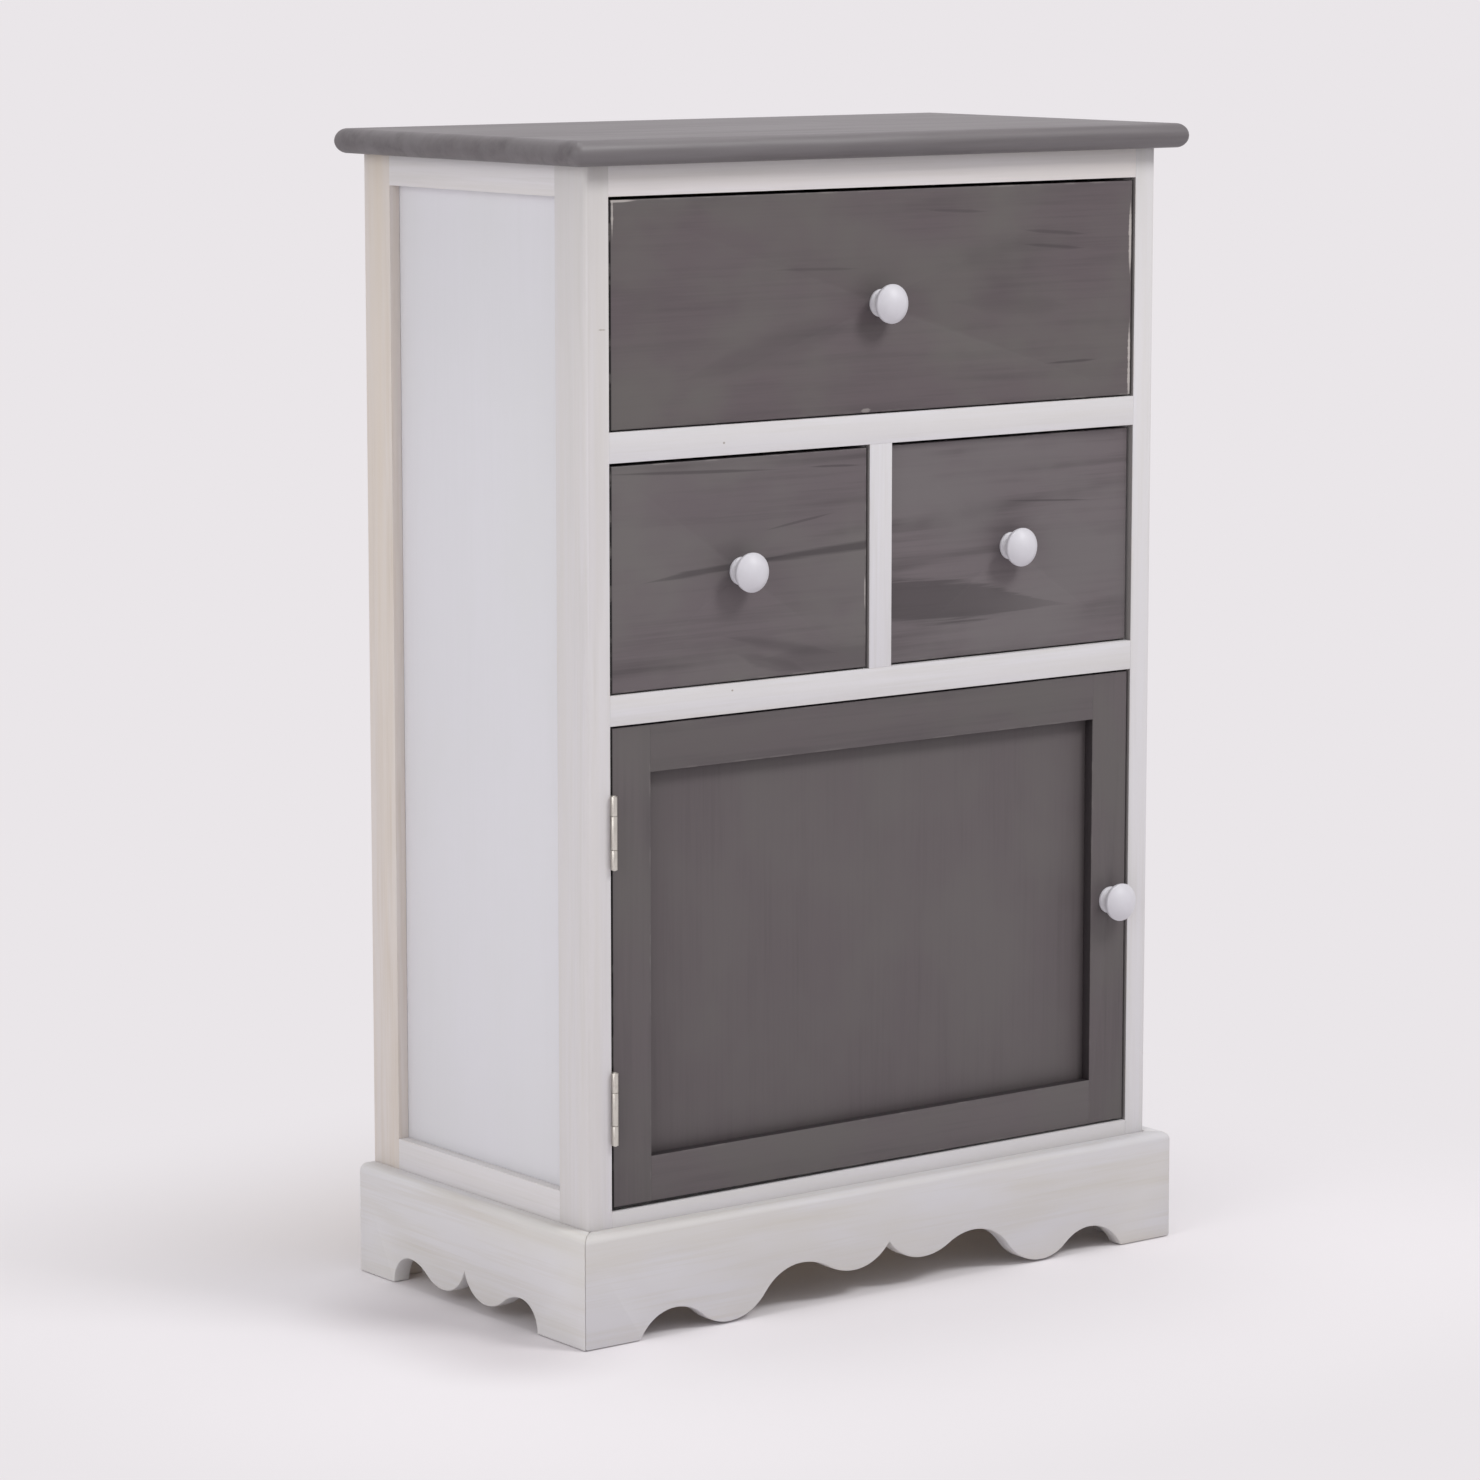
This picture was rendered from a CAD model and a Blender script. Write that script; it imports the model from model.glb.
import logging
import math
from dataclasses import dataclass, replace
from enum import Enum

import bpy
import numpy as np
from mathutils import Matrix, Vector


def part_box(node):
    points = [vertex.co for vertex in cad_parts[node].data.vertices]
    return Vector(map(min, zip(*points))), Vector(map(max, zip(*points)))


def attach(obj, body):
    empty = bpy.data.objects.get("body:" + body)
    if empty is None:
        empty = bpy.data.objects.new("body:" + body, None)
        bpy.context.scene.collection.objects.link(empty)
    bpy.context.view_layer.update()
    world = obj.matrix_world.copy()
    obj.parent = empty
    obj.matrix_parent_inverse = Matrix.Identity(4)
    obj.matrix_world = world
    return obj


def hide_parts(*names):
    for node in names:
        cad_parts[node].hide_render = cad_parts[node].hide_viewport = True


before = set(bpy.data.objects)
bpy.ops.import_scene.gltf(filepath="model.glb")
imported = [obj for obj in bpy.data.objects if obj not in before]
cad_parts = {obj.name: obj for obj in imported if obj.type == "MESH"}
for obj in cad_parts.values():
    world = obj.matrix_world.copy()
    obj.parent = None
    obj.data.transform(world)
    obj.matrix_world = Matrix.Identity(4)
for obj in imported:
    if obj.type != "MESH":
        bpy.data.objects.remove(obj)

log = logging.getLogger("cabinet")

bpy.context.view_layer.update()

# Lengths are in metres throughout, apart from the camera's sensor, which is in millimetres.
PHOTO_PIXELS = 1480
SENSOR_WIDTH = 36.0
WELD_DISTANCE = 1e-6
FLAT_ANGLE = math.radians(0.5)
SHARP_ANGLE = math.radians(35)

# How far from a board's front and back the look of its edges sets in.
FRONT_EDGE = (0.0002, 0.0005)

# How far the worn edge of a board reaches in, and the least half width of a mark.
WORN_WIDTH = 0.0016
LEAST_WIDTH = 0.00005

# Where along x the pooled stain at the door's foot is widest and where it ends, how soft
# the lines of pooled stain are, and how deep behind a front they fade.
LINE_START = -0.2
LINE_END = 0.15
LINE_BLUR = 0.0003
LINE_DEPTH = (0.0015, 0.003)

# How close the strip of rubbed stain keeps to a frame member's left face, and where it
# begins and ends behind the front edge.
RUBBED_FACE = (0.0003, 0.0006)
RUBBED_START = (0.0003, 0.0006)
RUBBED_END = (0.004, 0.007)

Point = tuple[float, float, float]
Pair = tuple[float, float]
Colour = tuple[float, float, float, float]


def shade(red: float, green: float, blue: float) -> Colour:
    """A colour from its screen values.

    Args:
        red, green, blue: screen values from 0 to 255.

    Returns:
        The same colour in linear light, opaque.
    """
    screen = np.array([red, green, blue]) / 255.0
    low = screen / 12.92
    high = ((screen + 0.055) / 1.055) ** 2.4
    light = np.where(screen <= 0.04045, low, high)
    return (*(float(channel) for channel in light), 1.0)


class Grain(Enum):
    """The way the grain of a board runs. The value orders the axes: along, across, through."""

    SIDEWAYS = ("x", "z", "y")
    UPRIGHT = ("z", "x", "y")
    UPRIGHT_ON_SIDE = ("z", "y", "x")
    DEEP = ("y", "z", "x")
    SIDEWAYS_FLAT = ("x", "y", "z")
    DEEP_FLAT = ("y", "x", "z")


class Value:
    """A number that flows through a graph's nodes, with the usual arithmetic."""

    def __init__(self, graph: "Graph", socket: bpy.types.NodeSocket) -> None:
        """Wraps an output socket of a node in graph."""
        self.graph = graph
        self.socket = socket

    def _math(self, operation: str, *others: "Value | float", first: bool = True) -> "Value":
        """One Math node.

        Args:
            operation: the node's operation.
            others: the other operands.
            first: whether this value is the first operand.

        Returns:
            The node's output.
        """
        operands = (self, *others) if first else (*others, self)
        inputs = dict(enumerate(operands))
        return self.graph.node("ShaderNodeMath", {"operation": operation}, inputs)

    def __add__(self, other: "Value | float") -> "Value":
        """This plus other."""
        return self._math("ADD", other)

    __radd__ = __add__

    def __sub__(self, other: "Value | float") -> "Value":
        """This minus other."""
        return self._math("SUBTRACT", other)

    def __rsub__(self, other: "Value | float") -> "Value":
        """Other minus this."""
        return self._math("SUBTRACT", other, first=False)

    def __mul__(self, other: "Value | float") -> "Value":
        """This times other."""
        return self._math("MULTIPLY", other)

    __rmul__ = __mul__

    def __truediv__(self, other: "Value | float") -> "Value":
        """This over other."""
        return self._math("DIVIDE", other)

    def __pow__(self, other: "Value | float") -> "Value":
        """This to the power of other."""
        return self._math("POWER", other)

    def size(self) -> "Value":
        """This without its sign."""
        return self._math("ABSOLUTE")

    def root(self) -> "Value":
        """The square root of this."""
        return self._math("SQRT")

    def sine(self) -> "Value":
        """The sine of this, in radians."""
        return self._math("SINE")

    def least(self, other: "Value | float") -> "Value":
        """The smaller of this and other."""
        return self._math("MINIMUM", other)

    def most(self, other: "Value | float") -> "Value":
        """The larger of this and other."""
        return self._math("MAXIMUM", other)

    def rising(self, low: float, high: float) -> "Value":
        """A smooth step up.

        Args:
            low: the value where it begins.
            high: the value where it ends.

        Returns:
            0 where this is below low, 1 where it is above high.
        """
        settings = {"interpolation_type": "SMOOTHSTEP"}
        inputs = {"Value": self, "From Min": low, "From Max": high}
        return self.graph.node("ShaderNodeMapRange", settings, inputs)

    def falling(self, low: float, high: float) -> "Value":
        """A smooth step from 1 where this is low to 0 where it is high."""
        return 1.0 - self.rising(low, high)

    def clipped(self) -> "Value":
        """This, kept from 0 to 1."""
        return self.most(0.0).least(1.0)

    def about(self, middle: float, swing: float) -> "Value":
        """This noise, which lies about 0.5, brought to lie about middle with that swing."""
        return self * swing + (middle - swing / 2)


class Graph:
    """The nodes of a tree, made by calls that read like the formula they stand for."""

    def __init__(self, tree: bpy.types.NodeTree) -> None:
        """Clears the tree."""
        self.tree = tree
        tree.nodes.clear()

    def node(
        self,
        kind: str,
        settings: dict[str, object] | None = None,
        inputs: dict[str | int, object] | None = None,
        output: str | int = 0,
    ) -> Value:
        """One node.

        Args:
            kind: Blender's name of the node type.
            settings: the node's own settings, set before its sockets.
            inputs: values or links of its sockets, by name or number.
            output: the socket to return.

        Returns:
            The chosen output.
        """
        made = self.tree.nodes.new(kind)
        for name, value in (settings or {}).items():
            setattr(made, name, value)
        for key, value in (inputs or {}).items():
            if isinstance(value, Value):
                self.tree.links.new(value.socket, made.inputs[key])
            else:
                made.inputs[key].default_value = value
        return Value(self, made.outputs[output])

    def end(self, kind: str, result: Value) -> None:
        """Leads result into an output node of that kind."""
        self.tree.links.new(result.socket, self.tree.nodes.new(kind).inputs[0])


class MaterialGraph(Graph):
    """The nodes of one new material."""

    def __init__(self, name: str) -> None:
        """Starts a material without nodes.

        Args:
            name: the material's name.
        """
        self.material = bpy.data.materials.new(name)
        self.material.use_nodes = True
        super().__init__(self.material.node_tree)
        self._axes: dict[str, Value] = {}

    def axis(self, name: str) -> Value:
        """One coordinate of each place.

        Args:
            name: x, y or z.

        Returns:
            The coordinate, in metres.
        """
        if name not in self._axes:
            place = self.node("ShaderNodeTexCoord", output="Object")
            split = self.node("ShaderNodeSeparateXYZ", inputs={0: place}, output=name.upper())
            self._axes[name] = split
        return self._axes[name]

    def point(self, x: Value | float, y: Value | float, z: Value | float) -> Value:
        """A vector of three values."""
        return self.node("ShaderNodeCombineXYZ", inputs={0: x, 1: y, 2: z})

    def place(self, scale: Point) -> Value:
        """Each place, with its coordinates times those of scale."""
        return self.point(*(self.axis(name) * factor for name, factor in zip("xyz", scale)))

    def noise(self, place: Value, detail: float = 2.0, roughness: float = 0.5) -> Value:
        """Cloudy noise about 0.5 whose clouds are one unit of place wide."""
        inputs = {"Vector": place, "Scale": 1.0, "Detail": detail, "Roughness": roughness}
        return self.node("ShaderNodeTexNoise", inputs=inputs)

    def blend(self, share: Value, first: Colour | Value, second: Colour | Value) -> Value:
        """A colour that goes from first to second as share goes from 0 to 1."""
        inputs = {0: share, 6: first, 7: second}
        return self.node("ShaderNodeMix", {"data_type": "RGBA"}, inputs, output=2)

    def relief(self, height: Value, depth: float) -> Value:
        """A normal that follows height as if it were depth metres tall."""
        inputs = {"Height": height, "Strength": 1.0, "Distance": depth}
        return self.node("ShaderNodeBump", inputs=inputs)

    def finish(self, **inputs: object) -> bpy.types.Material:
        """Ends the material in one surface shader.

        Args:
            inputs: its sockets, with _ for each space in their names.

        Returns:
            The finished material.
        """
        named = {key.replace("_", " "): value for key, value in inputs.items()}
        self.end("ShaderNodeOutputMaterial", self.node("ShaderNodeBsdfPrincipled", inputs=named))
        return self.material


@dataclass(frozen=True)
class Clouds:
    """A noise drawn out along the grain.

    along and across count its clouds to the metre. Where it makes patches, they fade in
    between the two values of fade.
    """

    along: float
    across: float
    detail: float = 2.0
    fade: Pair = (0.0, 1.0)


WANDER = Clouds(2.4, 11.0)
RING_PATCHES = Clouds(5.0, 22.0, fade=(0.4, 0.65))
FIBRES = Clouds(11.0, 420.0, detail=4.0)
STREAKS = Clouds(4.5, 75.0, detail=4.0)
WORN_SPOTS = Clouds(45.0, 90.0, detail=3.0, fade=(0.5, 0.64))

# How far a board may lie from the origin of its tree, how far its middle lies from the heart,
# across and through the board, and how far the heart wanders.
TREE_SIZE = 3.0
HEART_ACROSS = (-0.05, 0.05)
HEART_THROUGH = (0.05, 0.12)
HEART_WANDER = 0.035


class CutBoard:
    """The grain inside one board, sawn from a place of its own in a tree."""

    def __init__(
        self, graph: MaterialGraph, label: str, grain: Grain, low: Vector, high: Vector
    ) -> None:
        """Places the board in the tree, whose heart lies beside it.

        Args:
            graph: the material's nodes.
            label: the board's name, which also sets the place.
            grain: the way its grain runs.
            low, high: the corners of its box.
        """
        self.graph = graph
        seed = np.random.default_rng(sum(ord(letter) * (i + 3) for i, letter in enumerate(label)))
        shift = [float(value) for value in seed.uniform(-TREE_SIZE, TREE_SIZE, 3)]
        self.along, self.across, self.through = (
            graph.axis(name) + move for name, move in zip(grain.value, shift)
        )
        middle = {name: (a + b) / 2 for name, a, b in zip("xyz", low, high)}
        beside = float(seed.uniform(*HEART_ACROSS)), float(seed.uniform(*HEART_THROUGH))
        self.heart_across = beside[0] + shift[1] + middle[grain.value[1]]
        self.heart_through = beside[1] + shift[2] + middle[grain.value[2]]

    def clouds(self, noise: Clouds) -> Value:
        """That noise at each place of the board.

        Args:
            noise: its scales and detail.

        Returns:
            The noise, about 0.5.
        """
        place = self.graph.point(
            self.along * noise.along, self.across * noise.across, self.through * noise.across
        )
        return self.graph.noise(place, noise.detail, roughness=0.6)

    def patches(self, noise: Clouds) -> Value:
        """The patches that the noise makes, from 0 between them to 1 within."""
        return self.clouds(noise).rising(*noise.fade)

    def rings(self, spacing: float, wander: Value) -> Value:
        """The tree's rings, in the patches where they show.

        They are a sine of the distance from the heart, which wanders with slow noise.

        Args:
            spacing: the distance between two rings.
            wander: the slow noise.

        Returns:
            1 in the middle of a ring and 0 away from the rings.
        """
        off_across = self.across - self.heart_across
        off_through = self.through - self.heart_through
        radius = (off_across * off_across + off_through * off_through).root()
        radius = radius + wander * HEART_WANDER
        ring = ((radius * (2 * math.pi / spacing)).sine() * 0.5 + 0.5) ** 4.0
        return ring * self.patches(RING_PATCHES)


class Tone(Enum):
    """Whether a mark shows the dark of the grain or bare, worn wood."""

    DARK = "dark"
    PALE = "pale"


@dataclass(frozen=True)
class Mark:
    """A streak, a patch or a worn strip on a board's front, between two points (x, z).

    The widths are half of what it measures across, at its start and at its end. taper is
    the share of its length over which each end narrows, bend is how far slow noise bends it
    beyond its width, and edge is where it ends, as a share of its half width.
    """

    start: Pair
    end: Pair
    widths: Pair
    strength: float
    tone: Tone = Tone.DARK
    softness: float = 0.9
    taper: float = 0.35
    bend: float = 0.001
    edge: float = 1.2

    def share(self, graph: MaterialGraph, fibre: Value, streak: Value, slow: Value) -> Value:
        """How strongly the mark colours each place.

        It is 1 on the line from start to end, whose half width goes from the first of
        the widths to the second and narrows to its ends. The grain breaks it up.

        Args:
            graph: the material's nodes.
            fibre, streak, slow: noises of the grain, from fine to broad.

        Returns:
            The share of the mark's colour.
        """
        run = self.end[0] - self.start[0]
        rise = self.end[1] - self.start[1]
        length = math.hypot(run, rise)
        from_x = graph.axis("x") - self.start[0]
        from_z = graph.axis("z") - self.start[1] + (slow - 0.5) * (self.widths[1] + self.bend)
        along = (from_x * run + from_z * rise) / (length * length)
        aside = ((from_z * run - from_x * rise) / length).size()
        inside = along.rising(0.0, self.taper) * along.falling(1.0 - self.taper, 1.0)
        width = along * (self.widths[1] - self.widths[0]) + self.widths[0]
        blur = (streak - 0.5) * (self.softness * 1.8) + (fibre - 0.5) * 1.4
        place = aside / (width * inside).most(LEAST_WIDTH) + blur
        band = place.falling(self.edge - self.softness, self.edge)
        return band * inside.root() * self.strength


@dataclass(frozen=True)
class WoodFinish:
    """Wood under a stain or a thin paint, with its grain showing through.

    tint_scale counts the clouds of the tint to the metre, along and across the grain.
    left_line and lower_line are the widths of the lines of pooled stain, and rubbed is how
    much of the fronts' stain has rubbed off on the left face. Strengths and edge_stain are
    shares, and relief is the height of the grain.
    """

    name: str
    body: Colour
    grain: Colour
    dark: Colour
    tint: Colour
    worn: Colour
    pooled_stain: Colour = shade(20, 17, 18)
    rubbed_stain: Colour = shade(122, 117, 116)
    ring_spacing: float = 0.011
    ring_strength: float = 0.2
    fibre_strength: float = 0.5
    streak_strength: float = 0.5
    tint_strength: float = 0.5
    tint_scale: Pair = (8.0, 16.0)
    wear_strength: float = 0.0
    edge_stain: float = 0.0
    left_line: float = 0.0
    lower_line: float = 0.0
    rubbed: float = 0.0
    roughness: float = 0.6
    gloss: float = 0.35
    relief: float = 0.00005

    def material(
        self,
        label: str,
        grain: Grain,
        low: Vector,
        high: Vector,
        marks: tuple[Mark, ...] = (),
    ) -> bpy.types.Material:
        """The finish on one board.

        Rings, fibres and streaks darken the body colour towards that of the grain, and tint
        is a second, cloudy hue. The marks lie on the front alone. The edges between front
        and back drink more stain, which has pooled or rubbed off on some of them. Wear
        follows the distance to the board's edges.

        Args:
            label: the board's name, which also sets where in the tree it was cut.
            grain: the way its grain runs.
            low, high: the corners of its box.
            marks: streaks and patches of its own.

        Returns:
            The material.
        """
        graph = MaterialGraph(f"{self.name}_{label}")
        board = CutBoard(graph, label, grain, low, high)
        slow, fibre, streak = (board.clouds(noise) for noise in (WANDER, FIBRES, STREAKS))
        ring = board.rings(self.ring_spacing, slow)
        tone = ring * self.ring_strength + (fibre - 0.5) * self.fibre_strength
        tone = tone + (streak - 0.45) * self.streak_strength
        colour = graph.blend(tone.clipped(), self.body, self.grain)
        tint = board.patches(Clouds(*self.tint_scale, detail=3.0, fade=(0.35, 0.68)))
        colour = graph.blend(tint * self.tint_strength, colour, self.tint)

        behind_front = (graph.axis("y") - low.y).rising(*FRONT_EDGE)
        for mark in marks:
            share = mark.share(graph, fibre, streak, slow) * (1.0 - behind_front)
            colour = graph.blend(share, colour, self.dark if mark.tone is Tone.DARK else self.worn)
        between = behind_front * (high.y - graph.axis("y")).rising(*FRONT_EDGE)
        colour = graph.blend(between * self.edge_stain, colour, self.dark)
        if self.left_line or self.lower_line:
            colour = graph.blend(self._end_lines(graph, low), colour, self.pooled_stain)
        if self.rubbed:
            colour = graph.blend(self._rubbed_strip(graph, low), colour, self.rubbed_stain)
        worn_edge = self._edge_distance(graph, low, high).falling(0.0, WORN_WIDTH)
        wear = worn_edge * board.patches(WORN_SPOTS)
        colour = graph.blend(wear * self.wear_strength, colour, self.worn)

        return graph.finish(
            Base_Color=colour,
            Roughness=fibre.about(self.roughness, 0.12),
            Normal=graph.relief(fibre * 0.7 + ring * 0.3, self.relief),
            Specular_IOR_Level=self.gloss,
        )

    def _end_lines(self, graph: MaterialGraph, low: Vector) -> Value:
        """Where stain has pooled along the left and the lower end of a front.

        The left line is as wide all the way up. The lower one narrows evenly to the
        right, from its full width at LINE_START to nothing at LINE_END. Neither reaches
        far behind the front.

        Args:
            graph: the material's nodes.
            low: the low corner of the board's box.

        Returns:
            The share of the pooled stain.
        """
        left = (graph.axis("x") - low.x - self.left_line).falling(-LINE_BLUR, 0.0)
        slope = self.lower_line / (LINE_END - LINE_START)
        width = ((LINE_END - graph.axis("x")) * slope).most(0.0)
        lower = (graph.axis("z") - low.z - width).falling(-LINE_BLUR, 0.0)
        return left.most(lower) * (graph.axis("y") - low.y).falling(*LINE_DEPTH)

    def _rubbed_strip(self, graph: MaterialGraph, low: Vector) -> Value:
        """Where the stain of the fronts has rubbed off on the left face of a frame member.

        It is a strip just behind the member's front edge, beside the closed front.

        Args:
            graph: the material's nodes.
            low: the low corner of the member's box.

        Returns:
            The share of the rubbed stain.
        """
        on_left = (graph.axis("x") - low.x).falling(*RUBBED_FACE)
        depth = graph.axis("y") - low.y
        return on_left * depth.rising(*RUBBED_START) * depth.falling(*RUBBED_END) * self.rubbed

    @staticmethod
    def _edge_distance(graph: MaterialGraph, low: Vector, high: Vector) -> Value:
        """How far each place on a board's faces lies from the nearest edge.

        The smallest of the three distances to a pair of faces is 0 on a face, so the
        second smallest is the distance to that face's edge.

        Args:
            graph: the material's nodes.
            low, high: the corners of the board's box.

        Returns:
            The distance in metres.
        """
        gaps = [
            (b - a) / 2 - (graph.axis(name) - (a + b) / 2).size()
            for name, a, b in zip("xyz", low, high)
        ]
        smaller, larger = gaps[0].least(gaps[1]), gaps[0].most(gaps[1])
        return smaller.most(larger.least(gaps[2]))


@dataclass(frozen=True)
class PaintFinish:
    """Smooth satin paint on a turned knob, slightly dulled in its hollow.

    hollow is how far out from the front the hollow's middle lies, and hollow_fade where the
    dulling fades to either side of it. mottle counts the clouds of the faint mottling to the
    metre.
    """

    name: str
    body: Colour
    dull: Colour
    roughness: float
    hollow: float = 0.0048
    hollow_fade: Pair = (0.001, 0.0045)
    mottle: Point = (260.0, 260.0, 260.0)
    gloss: float = 0.5
    relief: float = 0.00003

    def material(self, label: str, centre: Vector) -> bpy.types.Material:
        """The finish on one knob.

        Args:
            label: the knob's name.
            centre: the middle of its foot, on the front that carries it.

        Returns:
            The material.
        """
        graph = MaterialGraph(f"{self.name}_{label}")
        out = centre.y - graph.axis("y")
        sunk = (out - self.hollow).size().falling(*self.hollow_fade)
        mottle = graph.noise(graph.place(self.mottle), detail=3.0, roughness=0.6)
        share = (sunk * 0.35 + (mottle - 0.4) * 0.25).clipped()
        return graph.finish(
            Base_Color=graph.blend(share, self.body, self.dull),
            Roughness=mottle.about(self.roughness, 0.12),
            Normal=graph.relief(mottle, self.relief),
            Specular_IOR_Level=self.gloss,
        )


@dataclass(frozen=True)
class MetalFinish:
    """Plated metal with fine marks along one axis and a little tarnish.

    brushing and spotting count the marks and the spots of tarnish to the metre.
    """

    name: str
    body: Colour
    tarnish: Colour
    roughness: float
    brushing: Point = (2500.0, 2500.0, 160.0)
    spotting: Point = (500.0, 500.0, 300.0)
    spot_fade: Pair = (0.5, 0.8)
    spot_strength: float = 0.3
    metallic: float = 0.9
    relief: float = 0.00001

    def material(self, label: str) -> bpy.types.Material:
        """The finish on one piece.

        Args:
            label: the piece's name.

        Returns:
            The material.
        """
        graph = MaterialGraph(f"{self.name}_{label}")
        marks = graph.noise(graph.place(self.brushing))
        spots = graph.noise(graph.place(self.spotting), detail=3.0, roughness=0.6)
        share = spots.rising(*self.spot_fade) * self.spot_strength
        return graph.finish(
            Base_Color=graph.blend(share, self.body, self.tarnish),
            Metallic=self.metallic,
            Roughness=marks.about(self.roughness, 0.16),
            Normal=graph.relief(marks, self.relief),
        )


@dataclass(frozen=True)
class PlasticFinish:
    """Plain moulded plastic with a faint texture, whose pebbles are counted to the metre."""

    name: str
    body: Colour
    pebble: Colour
    roughness: float
    pebbles: Point = (1500.0, 1500.0, 1500.0)
    relief: float = 0.00003

    def material(self, label: str) -> bpy.types.Material:
        """The finish on one piece.

        Args:
            label: the piece's name.

        Returns:
            The material.
        """
        graph = MaterialGraph(f"{self.name}_{label}")
        pebbles = graph.noise(graph.place(self.pebbles))
        return graph.finish(
            Base_Color=graph.blend(pebbles, self.body, self.pebble),
            Roughness=pebbles.about(self.roughness, 0.1),
            Normal=graph.relief(pebbles, self.relief),
        )


WHITE_WASH = WoodFinish(
    name="white_wash",
    body=shade(215, 213, 217),
    grain=shade(202, 199, 197),
    dark=shade(150, 140, 130),
    tint=shade(211, 208, 206),
    worn=shade(198, 184, 164),
    ring_strength=0.35,
    fibre_strength=1.5,
    streak_strength=1.6,
    tint_strength=0.55,
    tint_scale=(1.6, 48.0),
    wear_strength=0.15,
)
RUBBED_WASH = replace(WHITE_WASH, name="rubbed_wash", rubbed=0.9)
POST_WASH = replace(
    WHITE_WASH,
    name="post_wash",
    body=shade(214, 211, 214),
    tint=shade(210, 206, 203),
    tint_strength=0.65,
)
TOP_RAIL_WASH = replace(
    WHITE_WASH,
    name="top_rail_wash",
    body=shade(219, 215, 216),
    tint=shade(216, 210, 206),
    tint_strength=0.7,
)
BOTTOM_RAIL_WASH = replace(
    WHITE_WASH,
    name="bottom_rail_wash",
    body=shade(206, 203, 206),
    tint=shade(202, 199, 197),
)
SIDE_WASH = replace(
    WHITE_WASH,
    name="side_wash",
    body=shade(218, 215, 218),
    tint=shade(212, 208, 205),
)
BEIGE_WASH = replace(
    WHITE_WASH,
    name="beige_wash",
    body=shade(216, 209, 205),
    grain=shade(202, 190, 177),
    tint=shade(213, 202, 190),
    tint_strength=0.85,
)
SKIRT_WASH = replace(
    WHITE_WASH,
    name="skirt_wash",
    body=shade(209, 207, 210),
    grain=shade(197, 192, 186),
    tint=shade(205, 201, 196),
    ring_spacing=0.014,
    ring_strength=0.55,
    tint_strength=0.6,
    tint_scale=(7.0, 22.0),
)
SIDE_SKIRT_WASH = replace(
    SKIRT_WASH,
    name="side_skirt_wash",
    body=shade(217, 215, 217),
    grain=shade(204, 199, 193),
    tint=shade(212, 209, 204),
)
PANEL_PAINT = replace(
    WHITE_WASH,
    name="panel_paint",
    body=shade(219, 218, 223),
    grain=shade(211, 210, 213),
    tint=shade(216, 216, 218),
    ring_strength=0.05,
    fibre_strength=0.4,
    streak_strength=0.4,
    tint_scale=(5.0, 9.0),
    relief=0.00002,
)
GREY_STAIN = WoodFinish(
    name="grey_stain",
    body=shade(100, 92, 95),
    grain=shade(74, 68, 70),
    dark=shade(54, 49, 51),
    tint=shade(105, 101, 100),
    worn=shade(176, 170, 166),
    ring_spacing=0.012,
    ring_strength=0.6,
    fibre_strength=1.1,
    streak_strength=0.9,
    tint_strength=0.85,
    tint_scale=(10.0, 14.0),
    wear_strength=0.25,
    edge_stain=1.0,
    left_line=0.0014,
    roughness=0.5,
)
TOP_DRAWER_STAIN = replace(
    GREY_STAIN, name="top_drawer_stain", body=shade(94, 85, 88), tint=shade(98, 94, 92)
)
RIGHT_DRAWER_STAIN = replace(
    GREY_STAIN,
    name="right_drawer_stain",
    body=shade(106, 98, 101),
    tint=shade(108, 103, 104),
    left_line=0.0,
)
DOOR_STAIN = replace(
    GREY_STAIN,
    name="door_stain",
    body=shade(93, 86, 88),
    grain=shade(75, 70, 72),
    tint=shade(93, 89, 88),
    wear_strength=0.1,
    left_line=0.0,
)
DOOR_FOOT_STAIN = replace(DOOR_STAIN, name="door_foot_stain", lower_line=0.0013)
HINGE_STILE_STAIN = replace(DOOR_FOOT_STAIN, name="hinge_stile_stain", left_line=0.0008)
DOOR_PANEL_STAIN = replace(
    GREY_STAIN,
    name="door_panel_stain",
    body=shade(93, 86, 88),
    tint=shade(96, 91, 91),
    fibre_strength=0.9,
    streak_strength=0.35,
    ring_strength=0.1,
    tint_scale=(9.0, 13.0),
    left_line=0.0,
)
TOP_STAIN = replace(
    GREY_STAIN,
    name="top_stain",
    body=shade(98, 93, 95),
    grain=shade(80, 76, 78),
    tint=shade(108, 104, 106),
    streak_strength=2.2,
    ring_strength=0.5,
    tint_scale=(5.0, 60.0),
    wear_strength=0.2,
    edge_stain=0.0,
    left_line=0.0,
    gloss=0.55,
)
BARE_WOOD = WoodFinish(
    name="bare_wood",
    body=shade(214, 196, 166),
    grain=shade(186, 160, 124),
    dark=shade(150, 120, 90),
    tint=shade(220, 204, 176),
    worn=shade(226, 212, 188),
    ring_spacing=0.009,
    ring_strength=0.5,
    fibre_strength=0.7,
    streak_strength=0.6,
    roughness=0.65,
    relief=0.00008,
)
KNOB_PAINT = PaintFinish("knob_paint", shade(209, 207, 213), shade(182, 180, 181), 0.45)
NICKEL = MetalFinish("satin_nickel", shade(204, 200, 192), shade(140, 132, 120), 0.34)
ZINC = MetalFinish("zinc", shade(188, 188, 188), shade(140, 138, 134), 0.4)
CATCH_PLASTIC = PlasticFinish(
    "catch_plastic", shade(226, 224, 218), shade(206, 204, 198), 0.5
)


def wear_material(piece: bpy.types.Object, material: bpy.types.Material) -> None:
    """Gives a whole piece one material, in every slot that it has.

    Args:
        piece: the piece.
        material: what it wears.
    """
    if not piece.material_slots:
        piece.data.materials.append(material)
    for place in piece.material_slots:
        place.material = material


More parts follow.
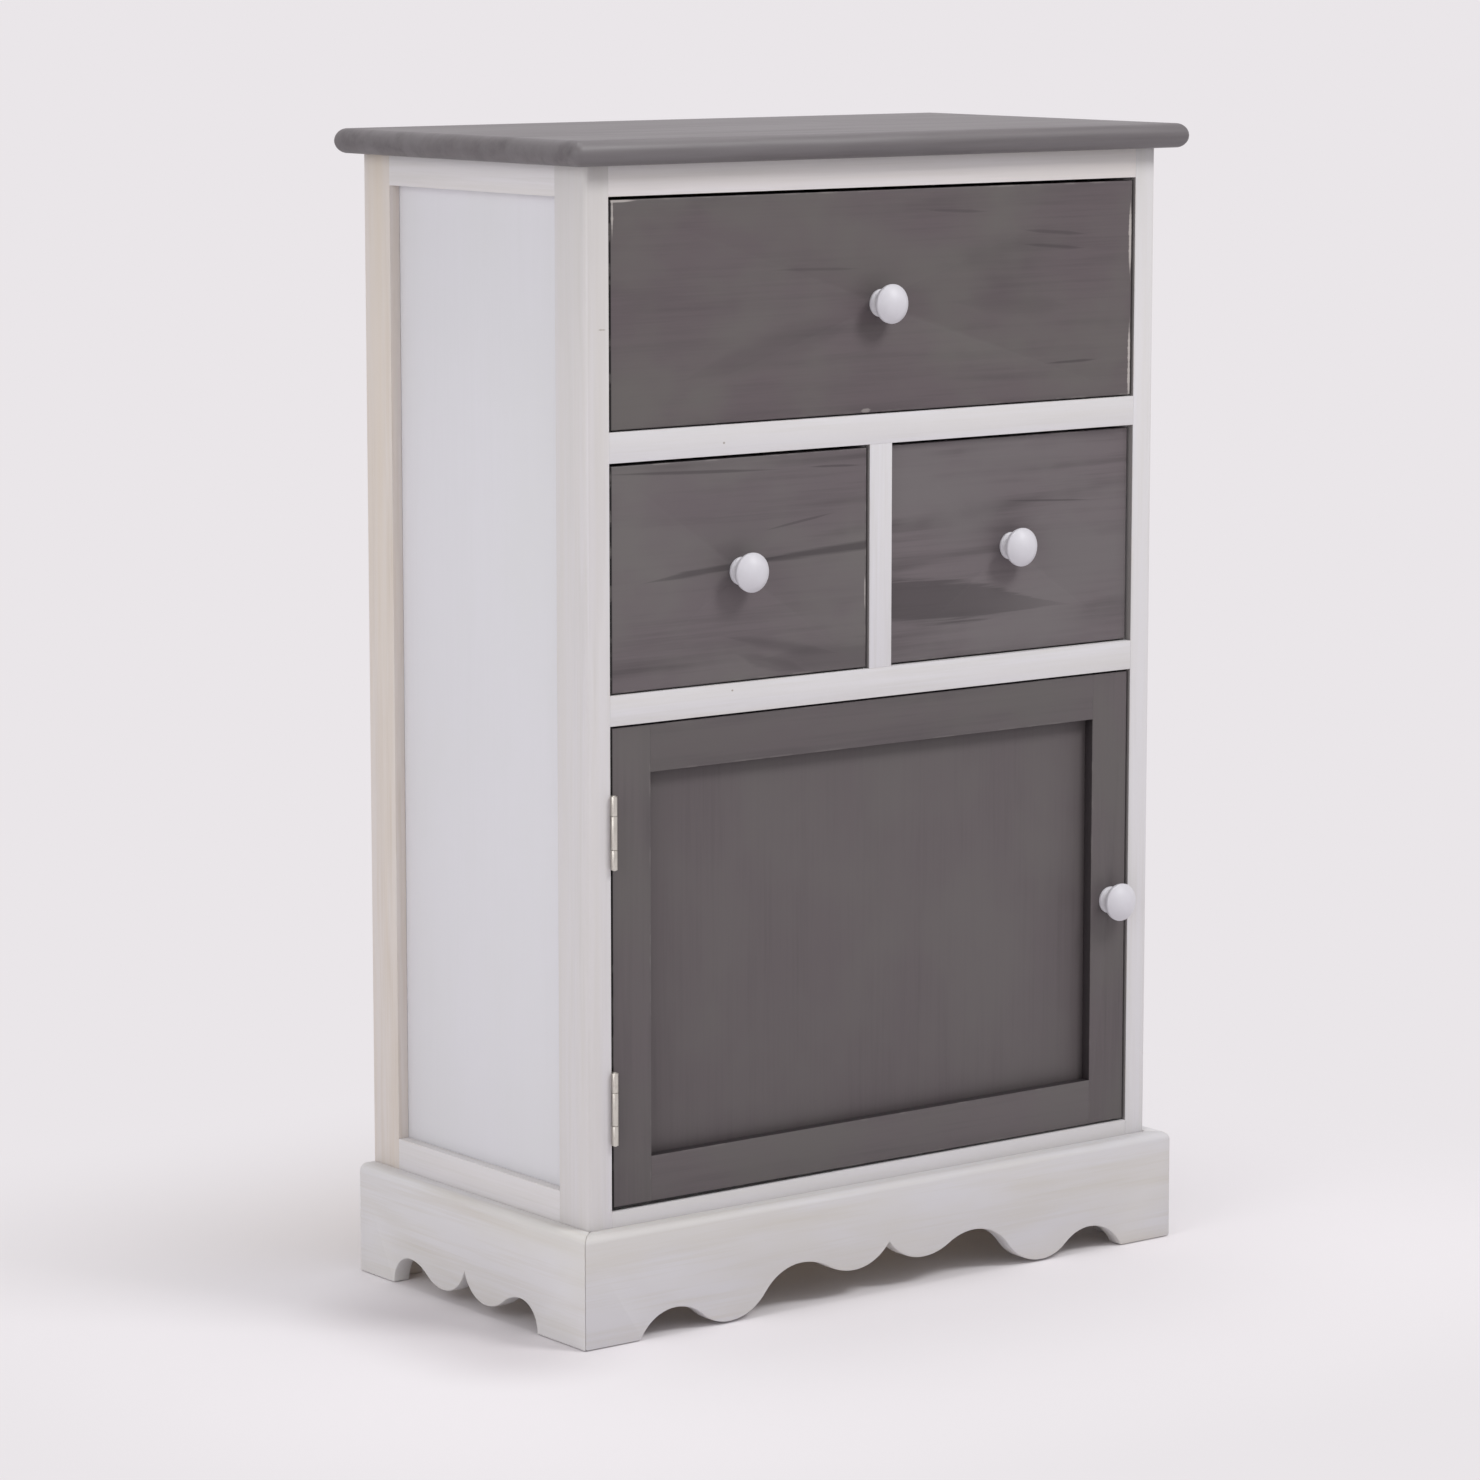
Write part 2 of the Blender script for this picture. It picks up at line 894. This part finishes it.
def smooth_by_angle() -> bpy.types.NodeTree:
    """Nodes that smooth the shading over edges flatter than SHARP_ANGLE and keep the rest sharp.

    Returns:
        The node group for a piece's modifier.
    """
    tree = bpy.data.node_groups.new("smooth_by_angle", "GeometryNodeTree")
    for way in ("INPUT", "OUTPUT"):
        tree.interface.new_socket("Geometry", in_out=way, socket_type="NodeSocketGeometry")
    graph = Graph(tree)
    start = graph.node("NodeGroupInput")
    angle = graph.node("GeometryNodeInputMeshEdgeAngle", output="Unsigned Angle")
    less = {"data_type": "FLOAT", "operation": "LESS_THAN"}
    flat = graph.node("FunctionNodeCompare", less, {0: angle, 1: SHARP_ANGLE})
    chosen = {"Geometry": start, "Shade Smooth": flat}
    edges = graph.node("GeometryNodeSetShadeSmooth", {"domain": "EDGE"}, chosen)
    faces = graph.node("GeometryNodeSetShadeSmooth", {"domain": "FACE"}, {"Geometry": edges})
    graph.end("NodeGroupOutput", faces)
    return tree


SMOOTHING = smooth_by_angle()


def weld(piece: bpy.types.Object) -> None:
    """Joins the points of a piece that lie on one another."""
    joined = piece.modifiers.new("joined", "WELD")
    joined.merge_threshold = WELD_DISTANCE


def smooth(piece: bpy.types.Object) -> None:
    """Smooths the shading of a piece and keeps its sharp edges."""
    nodes = piece.modifiers.new("smooth", "NODES")
    nodes.node_group = SMOOTHING


def ease_edges(piece: bpy.types.Object, radius: float) -> None:
    """Rubs down the sharp edges of a board or a fitting.

    Args:
        piece: a mesh of loose triangles, as the frame gives it.
        radius: how much is taken off each edge, in metres.
    """
    weld(piece)
    flattened = piece.modifiers.new("flattened", "DECIMATE")
    flattened.decimate_type = "DISSOLVE"
    flattened.angle_limit = FLAT_ANGLE
    eased = piece.modifiers.new("eased", "BEVEL")
    eased.width = radius
    eased.segments = 2
    eased.limit_method = "ANGLE"
    eased.angle_limit = SHARP_ANGLE
    smooth(piece)


def put_in_scene(name: str, data: bpy.types.ID) -> bpy.types.Object:
    """A new object in the scene.

    Args:
        name: its name.
        data: its mesh, lamp or camera.

    Returns:
        The new object.
    """
    made = bpy.data.objects.new(name, data)
    bpy.context.scene.collection.objects.link(made)
    return made


def mesh_object(name: str, points: np.ndarray, faces: list[list[int]]) -> bpy.types.Object:
    """A new object from points and faces.

    Args:
        name: the name of the object and its mesh.
        points: an array of three columns.
        faces: the numbers of each face's points, in turn.

    Returns:
        The new object.
    """
    mesh = bpy.data.meshes.new(name)
    mesh.from_pydata(points.tolist(), [], faces)
    mesh.update()
    return put_in_scene(name, mesh)


def grid_mesh(name: str, points: np.ndarray) -> bpy.types.Object:
    """A closed surface from a grid of points.

    Each row is a closed ring, and each ring joins the next one. The first and last
    rings are closed with one face each unless they have shrunk to a point.

    Args:
        name: the piece's name.
        points: rings by points by 3, each ring turning so that faces look outwards.

    Returns:
        The new object.
    """
    rings, count, _ = points.shape
    index = np.arange(rings * count).reshape(rings, count)
    beside = np.roll(index, -1, axis=1)
    quads = np.stack([index[:-1], beside[:-1], beside[1:], index[1:]], axis=-1).reshape(-1, 4)
    faces = quads.tolist() + [index[0][::-1].tolist(), index[-1].tolist()]
    piece = mesh_object(name, points.reshape(-1, 3), faces)
    weld(piece)
    smooth(piece)
    return piece


@dataclass
class Board:
    """A wooden piece that keeps the solid's shape and gets eased edges and a finish."""

    node: str
    finish: WoodFinish
    grain: Grain
    easing: float = 0.0004
    marks: tuple[Mark, ...] = ()

    def dress(self) -> None:
        """Finishes the piece."""
        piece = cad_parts[self.node]
        low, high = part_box(self.node)
        ease_edges(piece, self.easing)
        material = self.finish.material(self.node, self.grain, low, high, self.marks)
        wear_material(piece, material)
        log.info("%s dressed in %s", self.node, self.finish.name)


@dataclass
class Fitting:
    """A small metal or plastic piece that keeps the solid's shape."""

    node: str
    finish: MetalFinish | PlasticFinish
    easing: float = 0.00012

    def dress(self) -> None:
        """Finishes the piece."""
        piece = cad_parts[self.node]
        ease_edges(piece, self.easing)
        wear_material(piece, self.finish.material(self.node))
        log.info("%s dressed in %s", self.node, self.finish.name)


@dataclass
class Knob:
    """A turned knob: flared foot, waist, and a mushroom head with a soft rim.

    foot_easing, lip and neck_inset round the foot's edge. The places of the neck's end, rim,
    shoulder and dome are shares of how far the knob stands out and, where there are two, of
    the radius of its head. The steps are how many points each stretch of the outline has.
    """

    node: str
    body: str
    paint: PaintFinish = KNOB_PAINT
    foot_radius: float = 0.0087
    foot_thickness: float = 0.0018
    foot_easing: float = 0.0004
    lip: float = 0.0003
    neck_inset: float = 0.0005
    waist_radius: float = 0.0070
    neck_end: Pair = (0.445, 0.80)
    rim: float = 0.655
    shoulder: Pair = (0.68, 0.988)
    dome_start: Pair = (0.70, 0.955)
    fullness: float = 0.8
    corner_steps: int = 5
    curve_steps: int = 14
    dome_steps: int = 22
    turns: int = 96

    def profile(self, reach: float, head_radius: float) -> np.ndarray:
        """The knob's outline, as pairs of distance out and radius.

        The foot's edge is a quarter circle. The neck is a straight line less the hollow of
        the waist, a half wave to the power of its fullness. The back of the head rises to
        the rim as a quarter of an ellipse, and the dome is an arc of a circle.

        Args:
            reach: how far the knob stands out.
            head_radius: the radius of its head.

        Returns:
            An array of two columns.
        """
        head = np.array([reach, head_radius])
        foot = np.array([[0.0, 0.0], [0.0, self.foot_radius - self.foot_easing]])
        corner = np.linspace(0.0, math.pi / 2, self.corner_steps)[1:]
        foot_edge = np.column_stack(
            [
                self.foot_easing * (1 - np.cos(corner)),
                self.foot_radius - self.foot_easing * (1 - np.sin(corner)),
            ]
        )
        lip = np.array([[self.foot_thickness - self.lip, self.foot_radius]])

        wave = np.linspace(0.0, math.pi, self.curve_steps)
        neck_start = np.array([self.foot_thickness, self.foot_radius - self.neck_inset])
        neck_end = head * self.neck_end
        straight = neck_start + np.outer(wave / math.pi, neck_end - neck_start)
        depth = (neck_start[1] + neck_end[1]) / 2 - self.waist_radius
        hollow = np.sin(wave) ** self.fullness * depth
        neck = straight - np.column_stack([0 * wave, hollow])

        arch = np.linspace(0.0, math.pi / 2, self.curve_steps)[1:]
        back = np.column_stack(
            [
                neck_end[0] + (reach * self.rim - neck_end[0]) * (1 - np.cos(arch)),
                neck_end[1] + (head_radius - neck_end[1]) * np.sin(arch),
            ]
        )
        shoulder = np.array([head * self.shoulder])

        dome_start = head * self.dome_start
        height = reach - dome_start[0]
        dome_radius = (dome_start[1] ** 2 + height**2) / (2 * height)
        opening = math.asin(dome_start[1] / dome_radius)
        turn = np.linspace(opening, 0.0, self.dome_steps)
        dome = np.column_stack(
            [reach - dome_radius * (1 - np.cos(turn)), dome_radius * np.sin(turn)]
        )
        return np.vstack([foot, foot_edge, lip, neck, back, shoulder, dome])

    def build(self) -> None:
        """Turns the knob about its own axis and puts it in place of the solid."""
        low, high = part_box(self.node)
        centre = Vector(((low.x + high.x) / 2, high.y, (low.z + high.z) / 2))
        outline = self.profile(high.y - low.y, (high.x - low.x) / 2)
        angle = np.linspace(0.0, 2 * math.pi, self.turns, endpoint=False)
        out, radius = outline[:, :1], outline[:, 1:]
        points = np.stack(
            [
                centre.x + radius * np.cos(angle),
                centre.y - out + 0 * angle,
                centre.z - radius * np.sin(angle),
            ],
            axis=-1,
        )
        piece = grid_mesh(f"{self.node}_turned", points[:, ::-1])
        wear_material(piece, self.paint.material(self.node, centre))
        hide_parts(self.node)
        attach(piece, self.body)
        log.info("%s turned", self.node)


POST_MARKS = (
    Mark((-0.2165, 0.6177), (-0.2095, 0.6175), (0.0007, 0.0004), 0.7),
    Mark((-0.2190, 0.8600), (-0.2190, 0.3600), (0.0120, 0.0090), 0.12),
    Mark((-0.2262, 0.8600), (-0.2262, 0.2000), (0.0040, 0.0035), 0.14),
)
RAIL_WASHES = {"top": TOP_RAIL_WASH, "bottom": BOTTOM_RAIL_WASH}
RAIL_MARKS = {
    "middle": (Mark((-0.1233, 0.5451), (-0.1211, 0.5451), (0.0008, 0.0008), 0.8),),
    "lower": (Mark((-0.1170, 0.3930), (-0.1148, 0.3930), (0.0008, 0.0008), 0.8),),
}
TOP_DRAWER_MARKS = (
    Mark((-0.160, 0.583), (-0.010, 0.617), (0.006, 0.014), 0.16),
    Mark((0.050, 0.6225), (0.160, 0.6150), (0.004, 0.009), 0.16),
    Mark((0.030, 0.6812), (0.090, 0.6778), (0.0012, 0.0016), 0.35),
    Mark((0.110, 0.6660), (0.172, 0.6608), (0.0012, 0.0018), 0.4),
    Mark((0.110, 0.6570), (0.170, 0.6520), (0.0014, 0.0020), 0.45),
    Mark((0.130, 0.5804), (0.182, 0.5813), (0.0009, 0.0014), 0.55),
    Mark((-0.090, 0.6480), (-0.010, 0.6462), (0.0010, 0.0014), 0.3),
    Mark((0.2050, 0.6850), (0.2050, 0.6300), (0.0011, 0.0013), 1.0, Tone.PALE, 0.6),
    Mark((0.2050, 0.6090), (0.2050, 0.5450), (0.0009, 0.0013), 1.0, Tone.PALE, 0.6),
    Mark((-0.2250, 0.6932), (-0.1830, 0.6932), (0.0011, 0.0008), 0.9, Tone.PALE, 0.6),
    Mark((-0.2042, 0.7120), (-0.2042, 0.6680), (0.0009, 0.0007), 0.9, Tone.PALE, 0.6),
    Mark((-0.0160, 0.5585), (-0.0065, 0.5590), (0.0012, 0.0018), 0.45, Tone.PALE),
)
LEFT_DRAWER_MARKS = (
    Mark((-0.190, 0.4630), (-0.060, 0.4735), (0.0018, 0.0026), 0.55),
    Mark((-0.130, 0.4690), (0.060, 0.4770), (0.0022, 0.0038), 0.65),
    Mark((-0.126, 0.4280), (-0.030, 0.4085), (0.0045, 0.0050), 0.3),
    Mark((-0.116, 0.4170), (-0.054, 0.3990), (0.0040, 0.0050), 0.25),
    Mark((-0.100, 0.4120), (0.040, 0.4020), (0.0110, 0.0150), 0.3),
    Mark((-0.225, 0.5312), (-0.065, 0.5258), (0.0014, 0.0008), 0.5),
    Mark((-0.060, 0.5265), (-0.010, 0.5248), (0.0007, 0.0009), 0.5),
    Mark((-0.095, 0.4885), (-0.030, 0.4975), (0.0007, 0.0009), 0.4),
    Mark((-0.0114, 0.4580), (-0.0114, 0.4330), (0.0008, 0.0008), 0.6, Tone.PALE, 0.8),
)
RIGHT_DRAWER_MARKS = (
    Mark((-0.170, 0.4533), (0.168, 0.4238), (0.0125, 0.0125), 0.6, softness=0.4),
    Mark((0.095, 0.4953), (0.185, 0.4902), (0.0007, 0.0010), 0.5),
)


@dataclass
class Case:
    """The standing part: posts, rails, panels, skirts, inner boards and the top board."""

    rail_easing: float = 0.0002
    skirt_easing: float = 0.0012
    catch_easing: float = 0.0003

    def build(self) -> None:
        """Dresses every piece of the case."""
        self.sides()
        self.front()
        self.top_and_back()
        self.inside()
        self.fittings()

    def sides(self) -> None:
        """Dresses the posts and the two framed sides with their skirts."""
        for side, wash, marks in (("left", POST_WASH, POST_MARKS), ("right", RUBBED_WASH, ())):
            Board(f"front_post_{side}", wash, Grain.UPRIGHT_ON_SIDE, marks=marks).dress()
            Board(f"back_post_{side}", BEIGE_WASH, Grain.UPRIGHT_ON_SIDE).dress()
            Board(f"side_panel_{side}", PANEL_PAINT, Grain.UPRIGHT_ON_SIDE).dress()
            for level in ("top", "bottom"):
                rail = f"side_rail_{level}_{side}"
                Board(rail, SIDE_WASH, Grain.DEEP, self.rail_easing).dress()
            Board(f"skirt_{side}", SIDE_SKIRT_WASH, Grain.DEEP, self.skirt_easing).dress()

    def front(self) -> None:
        """Dresses the rails and the upright of the front, and its skirt."""
        for level in ("top", "middle", "lower", "bottom"):
            wash, marks = RAIL_WASHES.get(level, WHITE_WASH), RAIL_MARKS.get(level, ())
            rail = f"front_rail_{level}"
            Board(rail, wash, Grain.SIDEWAYS, self.rail_easing, marks).dress()
        Board("front_muntin", RUBBED_WASH, Grain.UPRIGHT, self.rail_easing).dress()
        Board("skirt_front", SKIRT_WASH, Grain.SIDEWAYS, self.skirt_easing).dress()

    def top_and_back(self) -> None:
        """Dresses the top board, and the bare panel and rails of the back."""
        Board("top_board", TOP_STAIN, Grain.SIDEWAYS_FLAT).dress()
        for node in ("back_rail_top", "back_rail_bottom"):
            Board(node, BARE_WOOD, Grain.SIDEWAYS).dress()
        Board("back_panel", BARE_WOOD, Grain.UPRIGHT).dress()

    def inside(self) -> None:
        """Dresses the boards that carry and part the drawers, and the cupboard's floor."""
        for node in ("cupboard_bottom", "drawer_deck"):
            Board(node, BARE_WOOD, Grain.SIDEWAYS_FLAT).dress()
        Board("drawer_divider", BARE_WOOD, Grain.DEEP).dress()
        Board("drawer_runners", BARE_WOOD, Grain.DEEP_FLAT).dress()

    def fittings(self) -> None:
        """Dresses the fixed half of the hinges and the catch."""
        Fitting("hinge_frame_leaves", NICKEL).dress()
        Fitting("hinge_pins", NICKEL).dress()
        Fitting("hinge_frame_screws", ZINC).dress()
        Fitting("catch_magnet", CATCH_PLASTIC, self.catch_easing).dress()


@dataclass
class Drawer:
    """One drawer: its stained front, bare box and knob."""

    name: str
    stain: WoodFinish
    marks: tuple[Mark, ...] = ()
    front_easing: float = 0.0003

    def build(self) -> None:
        """Dresses the drawer's pieces."""
        front = f"{self.name}_front"
        Board(front, self.stain, Grain.SIDEWAYS, self.front_easing, self.marks).dress()
        for side in ("left", "right"):
            Board(f"{self.name}_side_{side}", BARE_WOOD, Grain.DEEP).dress()
        Board(f"{self.name}_back", BARE_WOOD, Grain.SIDEWAYS).dress()
        Board(f"{self.name}_bottom", BARE_WOOD, Grain.SIDEWAYS_FLAT).dress()
        Fitting(f"{self.name}_knob_screw", ZINC).dress()
        Knob(f"{self.name}_knob", self.name).build()


@dataclass
class Door:
    """The framed door with its knob and the moving half of its hinges."""

    frame_easing: float = 0.0003

    def build(self) -> None:
        """Dresses the door's pieces."""
        for side, stain in (("left", HINGE_STILE_STAIN), ("right", DOOR_STAIN)):
            Board(f"door_stile_{side}", stain, Grain.UPRIGHT, self.frame_easing).dress()
        for level, stain in (("top", DOOR_STAIN), ("bottom", DOOR_FOOT_STAIN)):
            Board(f"door_rail_{level}", stain, Grain.SIDEWAYS, self.frame_easing).dress()
        Board("door_panel", DOOR_PANEL_STAIN, Grain.UPRIGHT).dress()
        Fitting("hinge_door_leaves", NICKEL).dress()
        Fitting("catch_plate", ZINC).dress()
        Fitting("door_screws", ZINC).dress()
        Knob("door_knob", "door").build()


@dataclass(frozen=True)
class Lamp:
    """A square soft light: where it hangs, the point it faces, its size and its watts."""

    name: str
    place: Point
    aim: Point
    size: float
    power: float

    def hang(self) -> None:
        """Puts the light in the scene."""
        data = bpy.data.lights.new(self.name, "AREA")
        data.shape = "SQUARE"
        data.size = self.size
        data.energy = self.power
        lamp = put_in_scene(self.name, data)
        lamp.location = self.place
        direction = Vector(self.aim) - Vector(self.place)
        lamp.rotation_euler = direction.to_track_quat("-Z", "Y").to_euler()


LAMPS = (
    Lamp("key_light", (0.8, -1.6, 2.25), aim=(0.05, 0.0, 0.35), size=0.7, power=25.7),
    Lamp("side_light", (-2.6, -0.5, 1.1), aim=(-0.2, 0.0, 0.3), size=1.8, power=19.0),
    Lamp("top_light", (0.0, 0.0, 2.4), aim=(0.0, 0.0, 0.0), size=1.2, power=14.0),
)


@dataclass
class Studio:
    """Pale floor and surroundings, soft lights, and the photograph's camera.

    footprint is half the cabinet's width and depth on the floor, and shade_half is half the
    size of the middle of the darker spot. The camera's place and turns, in degrees, and its
    focal length in pixels of the photograph come from a fit to the photograph's edges.
    """

    backdrop: Colour = shade(234, 230, 233)
    floor_colour: Colour = shade(236, 232, 235)
    floor_radius: float = 9.0
    floor_sides: int = 128
    floor_drop: float = 0.0003
    footprint: Pair = (0.237, 0.125)
    shadow_fade: Pair = (0.02, 0.42)
    shaded_floor: Colour = shade(214, 209, 212)
    shade_middle: Pair = (-0.275, -0.05)
    shade_half: Pair = (0.0, 0.055)
    shade_reach: float = 0.09
    ambient: float = 0.55
    ambient_colour: Colour = (1.0, 0.995, 1.0, 1.0)
    camera_place: Point = (-2.0372, -2.6422, 0.8512)
    camera_turn: float = -37.331
    camera_tilt: float = 8.751
    focal_pixels: float = 5253.7
    farthest_seen: float = 50.0

    def build(self) -> None:
        """Makes the floor, the surroundings, the lights and the camera."""
        self.floor()
        self.surroundings()
        for lamp in LAMPS:
            lamp.hang()
        self.camera()
        scene = bpy.context.scene
        scene.view_settings.view_transform = "Standard"
        log.info("studio set")

    @staticmethod
    def _distance(graph: MaterialGraph, middle: Pair, half: Pair) -> Value:
        """How far each place on the floor lies from a rectangle on it.

        Args:
            graph: the floor's nodes.
            middle: the rectangle's middle (x, y).
            half: half its width and depth.

        Returns:
            The distance in metres, 0 within.
        """
        beside = ((graph.axis("x") - middle[0]).size() - half[0]).most(0.0)
        beyond = ((graph.axis("y") - middle[1]).size() - half[1]).most(0.0)
        return (beside * beside + beyond * beyond).root()

    def floor(self) -> None:
        """A wide disc, a little darker beside the left skirt.

        Its shadows fade into the backdrop's colour away from the cabinet.
        """
        graph = MaterialGraph("floor")
        far = self._distance(graph, (0.0, 0.0), self.footprint).rising(*self.shadow_fade)
        darker = self._distance(graph, self.shade_middle, self.shade_half)
        darker = darker.falling(0.0, self.shade_reach)
        colour = graph.blend(darker, self.floor_colour, self.shaded_floor)
        camera = graph.node("ShaderNodeLightPath", output="Is Camera Ray")
        lit = graph.node("ShaderNodeBsdfDiffuse", inputs={"Color": colour})
        flat = graph.node("ShaderNodeEmission", inputs={"Color": self.backdrop, "Strength": 1.0})
        mixed = graph.node("ShaderNodeMixShader", inputs={0: far * camera, 1: lit, 2: flat})
        graph.end("ShaderNodeOutputMaterial", mixed)
        turn = np.linspace(0.0, 2 * math.pi, self.floor_sides, endpoint=False)
        ring = np.column_stack([np.cos(turn), np.sin(turn), 0 * turn]) * self.floor_radius
        ring[:, 2] = -self.floor_drop
        floor = mesh_object("floor", ring, [list(range(self.floor_sides))])
        wear_material(floor, graph.material)

    def surroundings(self) -> None:
        """A world that shows the backdrop's colour and lights softly from all round."""
        world = bpy.data.worlds.new("surroundings")
        bpy.context.scene.world = world
        world.use_nodes = True
        graph = Graph(world.node_tree)
        camera = graph.node("ShaderNodeLightPath", output="Is Camera Ray")
        glossy = graph.node("ShaderNodeLightPath", output="Is Glossy Ray")
        soft = {"Color": self.ambient_colour, "Strength": self.ambient}
        lit = graph.node("ShaderNodeBackground", inputs=soft)
        seen = graph.node("ShaderNodeBackground", inputs={"Color": self.backdrop})
        mixed = graph.node("ShaderNodeMixShader", inputs={0: camera.most(glossy), 1: lit, 2: seen})
        graph.end("ShaderNodeOutputWorld", mixed)

    def camera(self) -> None:
        """The camera, placed so that the cabinet's edges fall where the photograph has them."""
        data = bpy.data.cameras.new("camera")
        data.sensor_width = SENSOR_WIDTH
        data.lens = self.focal_pixels / PHOTO_PIXELS * SENSOR_WIDTH
        data.clip_end = self.farthest_seen
        camera = put_in_scene("camera", data)
        camera.location = self.camera_place
        turn, tilt = math.radians(self.camera_turn), math.radians(self.camera_tilt)
        camera.rotation_euler = (math.pi / 2 - tilt, 0.0, turn)
        bpy.context.scene.camera = camera


def main() -> None:
    """Builds and dresses the cabinet from the case outwards, then the studio."""
    logging.basicConfig(level=logging.INFO)
    Case().build()
    Drawer("top_drawer", TOP_DRAWER_STAIN, TOP_DRAWER_MARKS).build()
    Drawer("left_drawer", GREY_STAIN, LEFT_DRAWER_MARKS).build()
    Drawer("right_drawer", RIGHT_DRAWER_STAIN, RIGHT_DRAWER_MARKS).build()
    Door().build()
    Studio().build()


if __name__ == "__main__":
    main()
